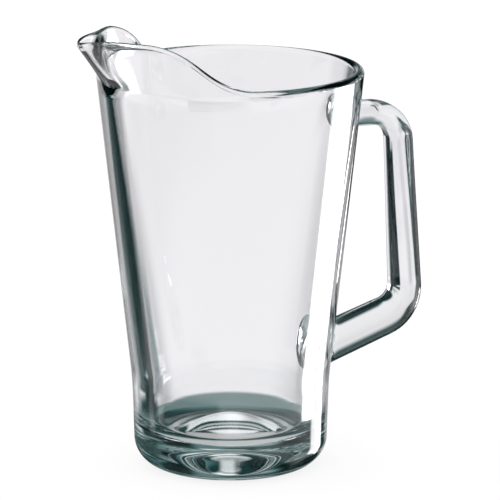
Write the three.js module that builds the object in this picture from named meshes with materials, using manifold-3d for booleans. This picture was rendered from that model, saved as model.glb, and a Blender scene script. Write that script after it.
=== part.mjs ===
// Clear glass pitcher: a pressed vessel with a pulled lip, and a solid handle stuck on hot.
// Millimetres, +Z up. The lip points along -X and the handle along +X, in the same upright plane.
import * as THREE from "three";
import { mergeVertices } from "three/addons/utils/BufferGeometryUtils.js";
import Module from "manifold-3d";

// Vessel, outside
const rimRadius = 69.7;
const rimHeight = 211.5;
const baseRadius = 50.9;
const waistRadius = 51.9;
const waistHeight = 45.9;
const waistBlend = 8;
const heelRadius = 15;
const footRadius = 32;
const puntDepth = 11;

// Vessel, inside
const lipThickness = 5.4;
const wallThickness = 10.3;
const floorHeight = 19;
const floorKick = 8;
const floorCorner = 10;
const floorTaper = 0.9;

// Pulled lip: angles are measured from the middle of the spout, either way round
const lipBand = 4.5;
const spoutReach = 14.2;
const noseAngle = 0.18;
const pinchDepth = 12;
const pinchAngle = 0.83;
const pinchSpread = 0.38;
const lipRise = 20.8;
const riseFull = 0.455;
const riseStart = 1.37;
const noseDip = 1.8;
const dipAngle = 0.1;
const lipSweep = 1.08;
const lipEdge = 1.5;
const thinStart = 2.1;

// Handle, in the upright plane: its centre line runs arm, upper bend, grip, lower bend, arm
const armHeight = 182.2;
const gripTop = 94.7;
const gripBottom = 100.5;
const elbowHeight = 75.3;
const lowerArmSlope = 0.348;
const upperBend = 16;
const lowerBend = 17.5;
const upperThickness = 13.2;
const gripThickness = 16.8;
const lowerThickness = 20.7;
const handleWidth = 21;
const padFillet = 5;
const padEdge = 1.2;
const sectionSquareness = 2.4;

// Fits and facets
const fitGap = 0.3;
const padSink = 12;
const turnSteps = 80;
const lipRows = 5;
const arcSteps = 7;
const kickSteps = 8;
const sectionSteps = 28;

const glass = new THREE.MeshStandardMaterial({
  color: 0xdfe9e8,
  roughness: 0.03,
  metalness: 0,
});

const crownHeight = rimHeight - lipThickness / 2;
const bandHeight = rimHeight - lipBand;
const wallSlope = (rimRadius - waistRadius) / (crownHeight - waistHeight);
const wallRadius = (z) => waistRadius + wallSlope * (z - waistHeight);

// Points on an arc, both ends included; angles in radians
function arc(centreR, centreZ, radius, from, to, steps = arcSteps) {
  const curve = new THREE.EllipseCurve(centreR, centreZ, radius, radius, from, to, to < from);
  return curve.getPoints(steps);
}

// Points between two profile points, the first left out
function rows(from, to, count) {
  return new THREE.LineCurve(from, to).getPoints(count).slice(1);
}

// Outside of the vessel, from the flat foot up to where the rim starts to round over
function outsideProfile() {
  const heel = arc(baseRadius - heelRadius, heelRadius, heelRadius, -Math.PI / 2, 0);
  const below = waistHeight - waistBlend;
  const above = waistHeight + waistBlend;
  const baseSlope = (waistRadius - baseRadius) / (waistHeight - heelRadius);
  const blend = new THREE.QuadraticBezierCurve(
    new THREE.Vector2(waistRadius - baseSlope * waistBlend, below),
    new THREE.Vector2(waistRadius, waistHeight),
    new THREE.Vector2(wallRadius(above), above),
  ).getPoints(4);
  const bandEdge = new THREE.Vector2(wallRadius(bandHeight), bandHeight);
  const crown = new THREE.Vector2(rimRadius, crownHeight);
  return [...heel, ...blend, ...rows(blend.at(-1), bandEdge, 4), ...rows(bandEdge, crown, lipRows)];
}

// Inside of the vessel, from the rim down to the middle of the floor
function insideProfile() {
  const crown = new THREE.Vector2(rimRadius - lipThickness, crownHeight);
  const waist = new THREE.Vector2(waistRadius - wallThickness, waistHeight);
  const share = (crownHeight - bandHeight) / (crownHeight - waistHeight);
  const bandEdge = crown.clone().lerp(waist, share);
  const cornerRadius = waist.x - floorTaper - floorCorner;
  const corner = arc(cornerRadius, floorHeight + floorCorner, floorCorner, 0, -Math.PI / 2);
  const kick = [];
  for (let i = 1; i <= kickSteps; i++) {
    const t = 1 - i / kickSteps;
    kick.push(new THREE.Vector2(cornerRadius * t, floorHeight + floorKick * (1 - t * t) ** 2));
  }
  return [crown, ...rows(crown, bandEdge, lipRows), ...rows(bandEdge, waist, 4), ...corner, ...kick];
}

// Hollow under the base, from its middle out to the flat foot
function puntProfile() {
  const radius = (footRadius ** 2 + puntDepth ** 2) / (2 * puntDepth);
  const half = Math.asin(footRadius / radius);
  const points = arc(0, puntDepth - radius, radius, Math.PI / 2, Math.PI / 2 - half, 6);
  points[0].x = 0;
  return points;
}

// A profile turned round Z, with its facets crowded towards the spout
function turned(profile) {
  const geometry = new THREE.LatheGeometry(profile, turnSteps).rotateX(Math.PI / 2);
  const places = geometry.attributes.position;
  const point = new THREE.Vector3();
  for (let i = 0; i < places.count; i++) {
    point.fromBufferAttribute(places, i);
    const radius = Math.hypot(point.x, point.y);
    const even = Math.atan2(point.y, -point.x);
    const angle = even - 0.5 * Math.sin(even);
    places.setXYZ(i, -radius * Math.cos(angle), radius * Math.sin(angle), point.z);
  }
  return welded(geometry);
}

// Positions only, with doubled points joined and the empty triangles on the axis left out
function welded(geometry) {
  geometry.deleteAttribute("normal");
  geometry.deleteAttribute("uv");
  const joined = mergeVertices(geometry, 1e-4);
  const corners = joined.index.array;
  const faces = [];
  for (let i = 0; i < corners.length; i += 3) {
    const [a, b, c] = corners.slice(i, i + 3);
    if (a !== b && b !== c && c !== a) faces.push(a, b, c);
  }
  return joined.setIndex(faces);
}

const bump = (angle, centre, spread) => Math.exp(-(((angle - centre) / spread) ** 2));

// How far the crest of the rim is pulled out and up, and the share by which it thins, by angle from the spout
function lipPull(angle) {
  const { smoothstep } = THREE.MathUtils;
  const out = spoutReach * bump(angle, 0, noseAngle) - pinchDepth * bump(angle, pinchAngle, pinchSpread);
  const rise = lipRise * (1 - smoothstep(angle, riseFull, riseStart));
  const thin = (1 - lipEdge / lipThickness) * (1 - smoothstep(angle, riseFull, thinStart));
  return { out, up: rise - noseDip * bump(angle, 0, dipAngle), thin };
}

// The lip: glass above the band's lower edge is drawn out and up, and its inside thins it towards the crest
function pullLip(geometry) {
  const places = geometry.attributes.position;
  const point = new THREE.Vector3();
  for (let i = 0; i < places.count; i++) {
    point.fromBufferAttribute(places, i);
    const share = THREE.MathUtils.clamp((point.z - bandHeight) / (crownHeight - bandHeight), 0, 1);
    if (share === 0) continue;
    const radius = Math.hypot(point.x, point.y);
    const angle = Math.abs(Math.atan2(point.y, -point.x));
    const pull = lipPull(angle);
    const depth = wallRadius(point.z) - radius;
    const grown = (radius + pull.out * share ** lipSweep + pull.thin * depth * share) / radius;
    places.setXYZ(i, point.x * grown, point.y * grown, point.z + pull.up * share);
  }
}

function vesselGeometry() {
  const crest = arc(rimRadius - lipThickness / 2, crownHeight, lipThickness / 2, 0, Math.PI);
  const profile = [...puntProfile(), ...outsideProfile(), ...crest.slice(1, -1), ...insideProfile()];
  const geometry = turned(profile);
  pullLip(geometry);
  return geometry;
}

// Centre line of the handle: straight runs joined by round bends, as points with their distance along
function handleLine() {
  const along = (x) => elbowHeight + lowerArmSlope * (x - gripBottom);
  const lowerWall = wallRadius(elbowHeight) - padSink;
  const corners = [
    new THREE.Vector2(wallRadius(armHeight) - padSink, armHeight),
    new THREE.Vector2(gripTop, armHeight),
    new THREE.Vector2(gripBottom, elbowHeight),
    new THREE.Vector2(lowerWall, along(lowerWall)),
  ];
  const upper = bend(corners[0], corners[1], corners[2], upperBend);
  const lower = bend(corners[1], corners[2], corners[3], lowerBend);
  return [
    corners[0],
    ...rows(corners[0], upper[0], 14),
    ...upper.slice(1),
    ...rows(upper.at(-1), lower[0], 5),
    ...lower.slice(1),
    ...rows(lower.at(-1), corners[3], 22),
  ];
}

// Points round a corner between two straight runs
function bend(before, corner, after, radius) {
  const inward = before.clone().sub(corner).normalize();
  const outward = after.clone().sub(corner).normalize();
  const half = Math.acos(inward.dot(outward)) / 2;
  const middle = inward.clone().add(outward).normalize();
  const centre = corner.clone().addScaledVector(middle, radius / Math.sin(half));
  const start = corner.clone().addScaledVector(inward, radius / Math.tan(half)).sub(centre);
  const turn = start.cross(outward) > 0 ? 1 : -1;
  const points = [];
  for (let i = 0; i <= arcSteps; i++) {
    const angle = turn * (Math.PI - 2 * half) * (i / arcSteps);
    points.push(start.clone().rotateAround(new THREE.Vector2(), angle).add(centre));
  }
  return points;
}

// Handle thickness in the upright plane: slim at the top, deeper down to the lower arm
function handleThickness(share) {
  const { lerp, smoothstep } = THREE.MathUtils;
  const top = lerp(upperThickness, gripThickness, smoothstep(share, 0.15, 0.76));
  return lerp(top, lowerThickness, smoothstep(share, 0.62, 0.79));
}

// How far a point on the handle swells to meet the wall: a fillet stopped short of a feather edge
function padSwell(point) {
  const fromWall = Math.hypot(point.x, point.y) - wallRadius(point.z);
  const near = padFillet - THREE.MathUtils.clamp(fromWall + padEdge, padEdge, padFillet);
  return padFillet - Math.sqrt(padFillet ** 2 - near ** 2);
}

// Loft of rounded sections along the centre line, closed at both ends
function handleGeometry() {
  const line = handleLine();
  const distance = [0];
  for (let i = 1; i < line.length; i++) distance.push(distance[i - 1] + line[i].distanceTo(line[i - 1]));
  const length = distance.at(-1);
  const vertices = [];
  for (let i = 0; i < line.length; i++) {
    const ahead = line[Math.min(i + 1, line.length - 1)].clone();
    const run = ahead.sub(line[Math.max(i - 1, 0)]).normalize();
    const halfDepth = handleThickness(distance[i] / length) / 2;
    for (let k = 0; k < sectionSteps; k++) {
      const turn = (2 * Math.PI * k) / sectionSteps;
      const deep = halfDepth * rounded(Math.cos(turn));
      const wide = (handleWidth / 2) * rounded(Math.sin(turn));
      const point = new THREE.Vector3(line[i].x - run.y * deep, wide, line[i].y + run.x * deep);
      const swell = padSwell(point);
      point.x -= run.y * swell * Math.cos(turn);
      point.y += swell * Math.sin(turn);
      point.z += run.x * swell * Math.cos(turn);
      vertices.push(...point);
    }
  }
  const last = line.length - 1;
  vertices.push(line[0].x, 0, line[0].y, line[last].x, 0, line[last].y);
  const geometry = new THREE.BufferGeometry();
  geometry.setAttribute("position", new THREE.Float32BufferAttribute(vertices, 3));
  geometry.setIndex(loftFaces(line.length, sectionSteps));
  return geometry;
}

// One coordinate of a superellipse, between a round and a squared section
const rounded = (value) => Math.sign(value) * Math.abs(value) ** (2 / sectionSquareness);

// Triangles between neighbouring rings, and a fan to the middle point of each end
function loftFaces(ringCount, ringSteps) {
  const faces = [];
  const startMiddle = ringCount * ringSteps;
  const lastRing = (ringCount - 1) * ringSteps;
  for (let k = 0; k < ringSteps; k++) {
    const next = (k + 1) % ringSteps;
    for (let ring = 0; ring < lastRing; ring += ringSteps) {
      faces.push(ring + k, ring + ringSteps + k, ring + next);
      faces.push(ring + next, ring + ringSteps + k, ring + ringSteps + next);
    }
    faces.push(startMiddle, k, next);
    faces.push(startMiddle + 1, lastRing + next, lastRing + k);
  }
  return faces;
}

const wasm = await Module();
wasm.setup();

function toManifold(geometry) {
  const vertProperties = new Float32Array(geometry.attributes.position.array);
  const triVerts = new Uint32Array(geometry.index.array);
  return new wasm.Manifold(new wasm.Mesh({ numProp: 3, vertProperties, triVerts }));
}

function toGeometry(solid) {
  const mesh = solid.getMesh();
  const geometry = new THREE.BufferGeometry();
  geometry.setAttribute("position", new THREE.BufferAttribute(mesh.vertProperties, 3));
  geometry.setIndex(new THREE.BufferAttribute(mesh.triVerts, 1));
  return geometry;
}

// The handle's pads take the shape of the wall, with the fit gap left between
function seatedHandle() {
  const shell = outsideProfile().map((point) => new THREE.Vector2(point.x + fitGap, point.y));
  const envelope = turned([new THREE.Vector2(0, 0), ...shell, new THREE.Vector2(0, crownHeight)]);
  return toGeometry(toManifold(handleGeometry()).subtract(toManifold(envelope)));
}

const group = new THREE.Group();
const pieces = { vessel: vesselGeometry(), handle: seatedHandle() };
for (const [name, geometry] of Object.entries(pieces)) {
  geometry.computeVertexNormals();
  const mesh = new THREE.Mesh(geometry, glass);
  mesh.name = name;
  group.add(mesh);
}

// The frame's origin is under the middle of the whole pitcher, at the level that it stands on
const box = new THREE.Box3().setFromObject(group);
for (const mesh of group.children) mesh.position.x = -(box.min.x + box.max.x) / 2;

export default group;
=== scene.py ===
from math import acos, asin, atan2, cos, exp, hypot, pi, radians, sin, sqrt, tan

import bmesh
import bpy
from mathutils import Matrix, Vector


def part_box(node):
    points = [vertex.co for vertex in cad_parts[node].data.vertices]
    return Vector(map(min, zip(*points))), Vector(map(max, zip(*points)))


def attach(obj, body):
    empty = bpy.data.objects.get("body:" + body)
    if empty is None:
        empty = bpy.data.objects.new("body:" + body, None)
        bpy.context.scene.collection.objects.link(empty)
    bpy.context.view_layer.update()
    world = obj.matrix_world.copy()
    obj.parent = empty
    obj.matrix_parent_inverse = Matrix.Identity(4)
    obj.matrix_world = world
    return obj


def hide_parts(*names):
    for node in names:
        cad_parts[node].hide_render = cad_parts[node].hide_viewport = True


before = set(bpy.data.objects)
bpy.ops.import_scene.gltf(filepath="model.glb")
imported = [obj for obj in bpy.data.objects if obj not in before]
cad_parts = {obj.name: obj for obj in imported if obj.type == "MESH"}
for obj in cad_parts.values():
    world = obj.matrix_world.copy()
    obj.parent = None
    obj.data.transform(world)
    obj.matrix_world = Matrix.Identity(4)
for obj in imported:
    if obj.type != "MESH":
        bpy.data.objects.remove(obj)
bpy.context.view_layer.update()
scene = bpy.context.scene
scene.view_settings.view_transform = "Standard"

# Camera: a long lens a little above the rim, with the lip turned towards it.
# The vessel's axis is found from the frame, because the origin is under the middle of lip and handle.
MM = 0.001
rim_radius = 69.7 * MM
axis_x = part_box("vessel")[1][0] - rim_radius
view_turn = radians(22.1)
view_height = radians(13.055)
view_distance = 2237 * MM
aim_right = 10.24 * MM
aim_height = 114.5 * MM
sensor_width = 36
frame_pixels = 500
focal_pixels = 4273

right = Vector((cos(view_turn), -sin(view_turn), 0))
ahead = Vector((sin(view_turn), cos(view_turn), 0))
forward = ahead * cos(view_height) - Vector((0, 0, sin(view_height)))
aim = Vector((axis_x, 0, aim_height)) + right * aim_right
bpy.ops.object.select_all(action="DESELECT")
bpy.ops.object.camera_add(location=aim - forward * view_distance)
camera = bpy.context.object
camera.rotation_euler = forward.to_track_quat("-Z", "Y").to_euler()
camera.data.sensor_width = sensor_width
camera.data.lens = sensor_width * focal_pixels / frame_pixels
camera.data.clip_end = 100
scene.camera = camera

# Vessel: one pressing of clear glass with a thick base, a rounded heel and a flat ring to stand on.
# A round hollow lies under the base, and the inside floor rises in the middle. The section is drawn as one
# line, from the hollow up the outside, over the rim and down the inside, and spun round the axis.
rim_height = 211.5 * MM
base_radius = 50.9 * MM
waist_radius = 51.9 * MM
waist_height = 45.9 * MM
waist_blend = 8 * MM
heel_radius = 15 * MM
foot_radius = 32 * MM
punt_depth = 11 * MM
lip_thickness = 5.4 * MM
wall_thickness = 10.3 * MM
floor_height = 19 * MM
floor_kick = 8 * MM
floor_corner = 10 * MM
floor_taper = 0.9 * MM
lip_band = 4.5 * MM
merge_distance = 0.001 * MM

punt_steps = 12
foot_steps = 3
heel_steps = 24
base_steps = 4
waist_steps = 10
wall_steps = 24
band_steps = 16
crest_steps = 16
corner_steps = 16
kick_steps = 24
spin_steps = 256

crown_height = rim_height - lip_thickness / 2
band_height = rim_height - lip_band
wall_slope = (rim_radius - waist_radius) / (crown_height - waist_height)


def wall_radius(z):
    return waist_radius + wall_slope * (z - waist_height)


def arc(centre_r, centre_z, radius, start, end, steps):
    turns = [start + (end - start) * i / steps for i in range(steps + 1)]
    return [(centre_r + radius * cos(turn), centre_z + radius * sin(turn)) for turn in turns]


def straight(first, last, steps):
    shares = [i / steps for i in range(1, steps + 1)]
    return [(first[0] + (last[0] - first[0]) * t, first[1] + (last[1] - first[1]) * t) for t in shares]


def bow(first, corner, last, steps):
    points = []
    for i in range(steps + 1):
        t = i / steps
        parts = zip(first, corner, last)
        points.append(tuple((1 - t) ** 2 * a + 2 * t * (1 - t) * b + t * t * c for a, b, c in parts))
    return points


def vessel_section():
    punt_radius = (foot_radius ** 2 + punt_depth ** 2) / (2 * punt_depth)
    punt_half = asin(foot_radius / punt_radius)
    punt = arc(0, punt_depth - punt_radius, punt_radius, pi / 2, pi / 2 - punt_half, punt_steps)
    heel = arc(base_radius - heel_radius, heel_radius, heel_radius, -pi / 2, 0, heel_steps)
    base_slope = (waist_radius - base_radius) / (waist_height - heel_radius)
    below = (waist_radius - base_slope * waist_blend, waist_height - waist_blend)
    above = (wall_radius(waist_height + waist_blend), waist_height + waist_blend)
    waist = bow(below, (waist_radius, waist_height), above, waist_steps)
    band_outside = (wall_radius(band_height), band_height)
    crown_outside = (rim_radius, crown_height)
    crown_inside = (rim_radius - lip_thickness, crown_height)
    waist_inside = (waist_radius - wall_thickness, waist_height)
    share = (crown_height - band_height) / (crown_height - waist_height)
    band_inside = tuple(a + (b - a) * share for a, b in zip(crown_inside, waist_inside))
    crest = arc(rim_radius - lip_thickness / 2, crown_height, lip_thickness / 2, 0, pi, crest_steps)
    corner_radius = waist_inside[0] - floor_taper - floor_corner
    corner = arc(corner_radius, floor_height + floor_corner, floor_corner, 0, -pi / 2, corner_steps)
    shares = [1 - i / kick_steps for i in range(1, kick_steps + 1)]
    kick = [(corner_radius * t, floor_height + floor_kick * (1 - t * t) ** 2) for t in shares]
    return [
        *punt,
        *straight(punt[-1], heel[0], foot_steps)[:-1],
        *heel,
        *straight(heel[-1], below, base_steps)[:-1],
        *waist,
        *straight(above, band_outside, wall_steps),
        *straight(band_outside, crown_outside, band_steps),
        *crest[1:],
        *straight(crown_inside, band_inside, band_steps),
        *straight(band_inside, waist_inside, wall_steps),
        *straight(waist_inside, corner[0], base_steps)[:-1],
        *corner,
        *kick,
    ]


bpy.ops.object.select_all(action="DESELECT")
bpy.ops.mesh.primitive_plane_add(size=MM)
pitcher = bpy.context.object
pitcher.name = "pitcher_glass"
bpy.ops.object.mode_set(mode="EDIT")
bpy.ops.mesh.merge(type="CENTER")
# The first point starts at the frame's origin, which lies -axis_x out from the vessel's axis.
drawn_r, drawn_z = -axis_x, 0
for i, (r, z) in enumerate(vessel_section()):
    step = (r - drawn_r, 0, z - drawn_z)
    if i == 0:
        bpy.ops.transform.translate(value=step)
    else:
        bpy.ops.mesh.extrude_region_move(TRANSFORM_OT_translate={"value": step})
    drawn_r, drawn_z = r, z
bpy.ops.mesh.select_all(action="SELECT")
bpy.ops.mesh.spin(steps=spin_steps, angle=2 * pi, center=(axis_x, 0, 0), axis=(0, 0, 1))
bpy.ops.mesh.select_all(action="SELECT")
bpy.ops.mesh.remove_doubles(threshold=merge_distance)
bpy.ops.mesh.normals_make_consistent(inside=False)
bpy.ops.object.mode_set(mode="OBJECT")

# Lip: while the rim is soft, its front is drawn out to a beak, pinched in at both sides and raised.
# Only the glass above the band's lower edge moves, and drawing it out thins it towards its crest.
# The mesh's columns are crowded towards the beak first, where the glass bends most.
spout_reach = 14.2 * MM
nose_angle = 0.18
pinch_depth = 12 * MM
pinch_angle = 0.83
pinch_spread = 0.38
lip_rise = 20.8 * MM
rise_full = 0.455
rise_start = 1.37
nose_dip = 1.8 * MM
dip_angle = 0.1
lip_sweep = 1.08
lip_edge = 1.5 * MM
thin_start = 2.1
beak_crowding = 0.5


def smooth(value, low, high):
    t = min(max((value - low) / (high - low), 0), 1)
    return t * t * (3 - 2 * t)


def bump(angle, centre, spread):
    return exp(-((angle - centre) / spread) ** 2)


for vertex in pitcher.data.vertices:
    x, y, z = vertex.co
    radius = hypot(x - axis_x, y)
    even = atan2(y, axis_x - x)
    angle = even - beak_crowding * sin(even)
    share = min(max((z - band_height) / (crown_height - band_height), 0), 1)
    if share > 0:
        off = abs(angle)
        out = spout_reach * bump(off, 0, nose_angle) - pinch_depth * bump(off, pinch_angle, pinch_spread)
        up = lip_rise * (1 - smooth(off, rise_full, rise_start)) - nose_dip * bump(off, 0, dip_angle)
        thin = (1 - lip_edge / lip_thickness) * (1 - smooth(off, rise_full, thin_start))
        depth = wall_radius(z) - radius
        radius += out * share ** lip_sweep + thin * depth * share
        z += up * share
    vertex.co = (axis_x - radius * cos(angle), radius * sin(angle), z)

# Handle: a solid gob of the same glass, drawn into a squared loop and stuck on hot at two pads.
# Rounded sections are extruded along its line and fused to the wall. It swells by shares of the way down,
# and the pads' sections lie along the wall, at levels in mm that crowd where the fillet turns.
arm_height = 182.2 * MM
grip_top = 94.7 * MM
grip_bottom = 100.5 * MM
elbow_height = 75.3 * MM
lower_arm_slope = 0.348
lower_arm_extra = 6 * MM
upper_bend = 16 * MM
lower_bend = 17.5 * MM
upper_thickness = 13.2 * MM
grip_thickness = 16.8 * MM
lower_thickness = 20.7 * MM
grip_swell = (0.1, 0.8)
lower_swell = (0.64, 0.83)
handle_width = 21 * MM
section_squareness = 2.4
pad_fillet = 5 * MM
pad_edge = 0.6 * MM
pad_levels = [-2, -1, -0.3, 0.1, 0.4, 0.8, 1.3, 1.9, 2.6, 3.4, 4.4, 6]
pad_settling = 8
ring_points = 56
bend_steps = 20
grip_steps = 12
crease_angle = radians(40)


def bend(before, corner, after, radius):
    inward = (before - corner).normalized()
    outward = (after - corner).normalized()
    half = acos(inward.dot(outward)) / 2
    centre = corner + (inward + outward).normalized() * (radius / sin(half))
    start = corner + inward * (radius / tan(half)) - centre
    turn = 1 if start.x * outward.y - start.y * outward.x > 0 else -1
    points = []
    for i in range(bend_steps + 1):
        swung = turn * (pi - 2 * half) * i / bend_steps
        out = start.x * cos(swung) - start.y * sin(swung)
        up = start.x * sin(swung) + start.y * cos(swung)
        points.append(centre + Vector((out, up)))
    return points


def handle_line():
    upper_end = Vector((wall_radius(arm_height), arm_height))
    upper_corner = Vector((grip_top, arm_height))
    lower_corner = Vector((grip_bottom, elbow_height))
    lower_reach = grip_bottom - wall_radius(elbow_height) + lower_arm_extra
    lower_end = lower_corner + Vector((-1, -lower_arm_slope)) * lower_reach
    upper = bend(upper_end, upper_corner, lower_corner, upper_bend)
    lower = bend(upper_corner, lower_corner, lower_end, lower_bend)
    grip = [upper[-1].lerp(lower[0], i / grip_steps) for i in range(1, grip_steps)]
    return [upper_end, *upper, *grip, *lower, lower_end]


def rounded(value):
    return (1 if value > 0 else -1) * abs(value) ** (2 / section_squareness)


def thickness_at(share):
    top = upper_thickness + (grip_thickness - upper_thickness) * smooth(share, *grip_swell)
    return top + (lower_thickness - top) * smooth(share, *lower_swell)


def section_point(centre, run, depth, turn, swell):
    deep = depth / 2 * rounded(cos(turn)) + swell * cos(turn)
    wide = handle_width / 2 * rounded(sin(turn)) + swell * sin(turn)
    return Vector((axis_x + centre.x - run.y * deep, wide, centre.y + run.x * deep))


def pad_point(centre, run, depth, turn, from_wall):
    near = pad_fillet - min(max(from_wall + pad_edge, pad_edge), pad_fillet)
    point = section_point(centre, run, depth, turn, pad_fillet - sqrt(pad_fillet ** 2 - near ** 2))
    slope = run.y / run.x
    for repeat in range(pad_settling):
        x = axis_x + sqrt((wall_radius(point.z) + from_wall) ** 2 - point.y ** 2)
        point.z += (x - point.x) * slope
        point.x = x
    return point


def handle_rings():
    line = handle_line()
    covered = [0]
    for a, b in zip(line, line[1:]):
        covered.append(covered[-1] + (b - a).length)
    turns = [2 * pi * k / ring_points for k in range(ring_points)]
    upper_run = (line[1] - line[0]).normalized()
    lower_run = (line[-1] - line[-2]).normalized()
    for level in pad_levels:
        yield [pad_point(line[0], upper_run, thickness_at(0), turn, level * MM) for turn in turns]
    for i in range(1, len(line) - 1):
        run = (line[i + 1] - line[i - 1]).normalized()
        depth = thickness_at(covered[i] / covered[-1])
        yield [section_point(line[i], run, depth, turn, 0) for turn in turns]
    for level in reversed(pad_levels):
        yield [pad_point(line[-1], lower_run, thickness_at(1), turn, level * MM) for turn in turns]


bpy.ops.object.select_all(action="DESELECT")
bpy.ops.mesh.primitive_circle_add(vertices=ring_points, radius=handle_width / 2)
handle = bpy.context.object
bpy.ops.object.mode_set(mode="EDIT")
grown = bmesh.from_edit_mesh(handle.data)
turn_number = grown.verts.layers.int.new("turn_number")
grown.verts.ensure_lookup_table()
for k, vertex in enumerate(grown.verts):
    vertex[turn_number] = k
for i, ring in enumerate(handle_rings()):
    if i > 0:
        bpy.ops.mesh.extrude_region_move()
    grown = bmesh.from_edit_mesh(handle.data)
    turn_number = grown.verts.layers.int["turn_number"]
    for vertex in grown.verts:
        if vertex.select:
            vertex.co = ring[vertex[turn_number]]
    bmesh.update_edit_mesh(handle.data)
# The last ring is still selected and is closed first; the first ring is then the only open edge.
bpy.ops.mesh.edge_face_add()
bpy.ops.mesh.select_all(action="DESELECT")
bpy.ops.mesh.select_non_manifold(extend=False)
bpy.ops.mesh.edge_face_add()
bpy.ops.mesh.select_all(action="SELECT")
bpy.ops.mesh.normals_make_consistent(inside=False)
bpy.ops.object.mode_set(mode="OBJECT")

fuse = pitcher.modifiers.new("fuse", "BOOLEAN")
fuse.operation = "UNION"
fuse.solver = "EXACT"
fuse.object = handle
bpy.ops.object.select_all(action="DESELECT")
pitcher.select_set(True)
bpy.context.view_layer.objects.active = pitcher
bpy.ops.object.modifier_apply(modifier="fuse")
bpy.data.objects.remove(handle)
bpy.ops.object.shade_smooth_by_angle(angle=crease_angle)

# Glass: one clear, fire-polished melt for vessel and handle, with a weak blue-green body colour.
# Faces seen square on pass nearly all light. At a glancing angle the colour turns near black, a painted
# shade that gives the edges dark lines from any side.
glass_index = 1.52
face_tint = (0.985, 0.985, 0.99, 1)
edge_painted_shade = (0.004, 0.02, 0.02, 1)
edge_mirroring = (0.12, 0.6)
body_colour = (0.55, 0.9, 0.87, 1)
body_density = 2.5


class Wire:
    """One socket of a node tree; sums on wires add Math nodes to the tree."""

    def __init__(self, tree, socket=None):
        self.tree = tree
        self.socket = socket

    def node(self, kind, settings, sockets, output=0):
        made = self.tree.nodes.new(kind)
        for name, value in settings.items():
            setattr(made, name, value)
        for name, value in sockets.items():
            if isinstance(value, Wire):
                value.into(made.inputs[name])
            else:
                made.inputs[name].default_value = value
        return Wire(self.tree, made.outputs[output])

    def into(self, target):
        self.tree.links.new(self.socket, target)

    def maths(self, operation, first, second):
        return self.node("ShaderNodeMath", {"operation": operation}, {0: first, 1: second})

    def __add__(self, other):
        return self.maths("ADD", self, other)

    def __radd__(self, other):
        return self.maths("ADD", other, self)

    def __sub__(self, other):
        return self.maths("SUBTRACT", self, other)

    def __rsub__(self, other):
        return self.maths("SUBTRACT", other, self)

    def __mul__(self, other):
        return self.maths("MULTIPLY", self, other)

    def __rmul__(self, other):
        return self.maths("MULTIPLY", other, self)

    def dot(self, other):
        return self.node("ShaderNodeVectorMath", {"operation": "DOT_PRODUCT"},
                         {0: self, 1: other}, "Value")

    def ramp(self, low, high):
        return self.node("ShaderNodeMapRange", {"interpolation_type": "SMOOTHSTEP"},
                         {"Value": self, "From Min": low, "From Max": high})


glass = bpy.data.materials.new("clear_glass")
glass.use_nodes = True
tree = Wire(glass.node_tree)
shader = glass.node_tree.nodes["Principled BSDF"]
# Painted shade: the base colour runs from the glass's faint tint to near black as the Fresnel value rises
# at glancing angles.
glancing = tree.node("ShaderNodeFresnel", {}, {"IOR": glass_index}).ramp(*edge_mirroring)
tint_and_painted_edge = tree.node("ShaderNodeMix", {"data_type": "RGBA"}, {0: glancing, 6: face_tint, 7: edge_painted_shade}, 2)
tint_and_painted_edge.into(shader.inputs["Base Color"])
shader.inputs["Roughness"].default_value = 0
shader.inputs["IOR"].default_value = glass_index
shader.inputs["Transmission Weight"].default_value = 1
absorb = tree.node("ShaderNodeVolumeAbsorption", {}, {"Color": body_colour, "Density": body_density})
absorb.into(glass.node_tree.nodes["Material Output"].inputs["Volume"])
pitcher.data.materials.clear()
pitcher.data.materials.append(glass)
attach(pitcher, "root")
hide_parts("vessel", "handle")

# Floor: a wide sheet of matt paper, which the pitcher stands on and shades.
# A glow that only the camera sees makes it white. The glass shows the room in its place.
floor_size = 40
paper_colour = (0.2, 0.2, 0.2, 1)
paper_glow = 0.85

bpy.ops.object.select_all(action="DESELECT")
bpy.ops.mesh.primitive_plane_add(size=floor_size)
floor = bpy.context.object
floor.name = "floor"
floor.visible_glossy = False
floor.visible_transmission = False
paper = bpy.data.materials.new("paper")
paper.use_nodes = True
tree = Wire(paper.node_tree)
matt = paper.node_tree.nodes["Principled BSDF"]
matt.inputs["Base Color"].default_value = paper_colour
matt.inputs["Roughness"].default_value = 1
matt.inputs["Specular IOR Level"].default_value = 0
matt.inputs["Emission Color"].default_value = (1, 1, 1, 1)
seen = tree.node("ShaderNodeLightPath", {}, {}, "Is Camera Ray")
(seen * paper_glow).into(matt.inputs["Emission Strength"])
floor.data.materials.append(paper)

# Shade: a glowing disc of painted shade round the foot, which only the glass shows and which darkens its
# base. It is painted lighter under the hollow, darkest under the heel, and fades away outside.
# Mirrored rays miss its right side, so the lamp's stripe runs on down the base.
shade_radius = 135 * MM
shade_drop = 0.2 * MM
shade_sides = 96
heel_painted_shade = 0.04
hollow_painted_light = 0.5
hollow_edge = (38 * MM, 46 * MM)
outer_painted_shade = 0.22
outer_edge = (58 * MM, 70 * MM)
shade_edge = (100 * MM, 128 * MM)
lamp_side_edge = (36 * MM, 46 * MM)
dark_red = 0.35
full_red_tone = 0.5


def cool(tone, green):
    red = tone * (dark_red + (1 - dark_red) * tone.ramp(0, full_red_tone))
    return tone.node("ShaderNodeCombineColor", {}, {0: red, 1: green, 2: tone})


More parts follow.
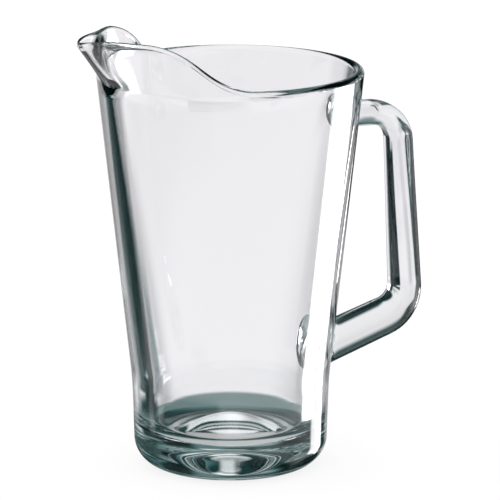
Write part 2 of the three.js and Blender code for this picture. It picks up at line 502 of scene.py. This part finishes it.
bpy.ops.object.select_all(action="DESELECT")
bpy.ops.mesh.primitive_circle_add(vertices=shade_sides, radius=shade_radius, fill_type="NGON",
                                  location=(axis_x, 0, -shade_drop))
shade = bpy.context.object
shade.name = "shade"
shade.visible_camera = False
shade.visible_diffuse = False
shade.visible_shadow = False
painted_shade_disc = bpy.data.materials.new("painted_shade_disc")
painted_shade_disc.use_nodes = True
tree = Wire(painted_shade_disc.node_tree)
place = tree.node("ShaderNodeTexCoord", {}, {}, "Object")
spread = tree.node("ShaderNodeVectorMath", {"operation": "LENGTH"}, {0: place}, "Value")
# Painted shade and painted light: near black under the heel, lighter under the hollow, mid-grey further
# out.
tone = heel_painted_shade + hollow_painted_light * (1 - spread.ramp(*hollow_edge)) + outer_painted_shade * spread.ramp(*outer_edge)
glow = tree.node("ShaderNodeEmission", {}, {"Color": cool(tone, tone)})
clear = tree.node("ShaderNodeBsdfTransparent", {}, {})
passed = tree.node("ShaderNodeLightPath", {}, {}, "Is Transmission Ray")
lamp_side = place.dot(right).ramp(*lamp_side_edge)
fade = tree.maths("MAXIMUM", spread.ramp(*shade_edge), (1 - passed) * lamp_side)
mixed = tree.node("ShaderNodeMixShader", {}, {0: fade, 1: glow, 2: clear})
mixed.into(painted_shade_disc.node_tree.nodes["Material Output"].inputs["Surface"])
shade.data.materials.append(painted_shade_disc)

# Studio: a soft white room that turns grey and then dark upwards, with cards and a lamp round the pitcher.
# The eye and the table see plain white. Only the glass shows the cards, as dark edges and light stripes.
# Headings run clockwise from straight ahead of the camera, heights up from level, both in degrees.
wall_white = 0.925
upper_wall_loss = 0.1
upper_wall_edge = (-17, -8)
ceiling_loss = 0.785
ceiling_edge = (0, 16)
skylight_glow = 0.4
skylight_edge = (50, 60)
room_green = 0.98

world = bpy.data.worlds.new("studio")
scene.world = world
world.use_nodes = True
tree = Wire(world.node_tree)
outward = tree.node("ShaderNodeTexCoord", {}, {}, "Generated")
heading = tree.maths("ARCTAN2", outward.dot(right), outward.dot(ahead)) * (180 / pi)
height = tree.node("ShaderNodeMath", {"operation": "ARCSINE"}, {0: outward.dot((0, 0, 1))}) * (180 / pi)


def card(behind, tone, headings, heights, side_blur, level_blur):
    low, high = headings
    bottom, top = heights
    inside = heading.ramp(low - side_blur, low + side_blur)
    inside = inside * (1 - heading.ramp(high - side_blur, high + side_blur))
    inside = inside * height.ramp(bottom - level_blur, bottom + level_blur)
    inside = inside * (1 - height.ramp(top - level_blur, top + level_blur))
    return behind + inside * (tone - behind)


room = wall_white - height.ramp(*upper_wall_edge) * upper_wall_loss
room = room - height.ramp(*ceiling_edge) * ceiling_loss

# Cards on the left, for the left wall and the beak, and low ones under them for the base.
room = card(room, tone=0.01, headings=(-68, -39), heights=(-21, 10), side_blur=3, level_blur=1.5)
room = card(room, tone=0.01, headings=(-68, -21), heights=(0.5, 30), side_blur=5, level_blur=2)
room = card(room, tone=0.64, headings=(-23, -13), heights=(-22, -13), side_blur=3, level_blur=2)
room = card(room, tone=0.03, headings=(-54, -21), heights=(-24.2, -17.5), side_blur=7, level_blur=1.2)
room = card(room, tone=0.02, headings=(-57, -45), heights=(-26.5, -20), side_blur=2, level_blur=1)
room = card(room, tone=0.05, headings=(-34, -12), heights=(-26.5, -22), side_blur=5, level_blur=1.2)
room = card(room, tone=0.01, headings=(-165, -78), heights=(-23.5, -16.5), side_blur=4, level_blur=1.5)

# Grey and dark cards on the right, and light overhead, for the rim, the right wall and the handle.
room = card(room, tone=0.7, headings=(9, 20), heights=(-18, -14), side_blur=5, level_blur=1.5)
room = card(room, tone=0.5, headings=(16, 28), heights=(-21, -16), side_blur=3, level_blur=1.5)
room = card(room, tone=0.2, headings=(3, 40), heights=(7, 28), side_blur=4, level_blur=4)
room = card(room, tone=0.02, headings=(29, 56), heights=(-2, 10), side_blur=4, level_blur=3)
room = card(room, tone=1.1, headings=(-6, 14), heights=(21, 60), side_blur=4, level_blur=4)
room = room + height.ramp(*skylight_edge) * skylight_glow
room = card(room, tone=0.012, headings=(16, 36.5), heights=(-14.1, 26), side_blur=3.5, level_blur=0.5)
room = card(room, tone=0.012, headings=(7.2, 20), heights=(-14.1, -11.8), side_blur=1.5, level_blur=0.4)

# Low dark cards on the right for the base, one behind on the right, and the lamp for the white stripe.
room = card(room, tone=0.02, headings=(28, 42), heights=(-25, -12), side_blur=3, level_blur=2)
room = card(room, tone=0.02, headings=(16, 62), heights=(-62, -25), side_blur=4, level_blur=3)
room = card(room, tone=0.08, headings=(124, 145), heights=(-16.5, -8), side_blur=3, level_blur=1.5)
room = card(room, tone=9, headings=(43, 68), heights=(-28, -14.5), side_blur=2.5, level_blur=1.5)

seen = tree.node("ShaderNodeLightPath", {}, {}, "Is Camera Ray")
soft = tree.node("ShaderNodeLightPath", {}, {}, "Is Diffuse Ray")
plain = tree.maths("MAXIMUM", seen, soft)
shown = (1 - plain) * room
studio_colour = cool(plain + shown, plain + shown * room_green)
studio_colour.into(world.node_tree.nodes["Background"].inputs["Color"])
scene.cycles.max_bounces = 24
scene.cycles.glossy_bounces = 16
scene.cycles.transmission_bounces = 24
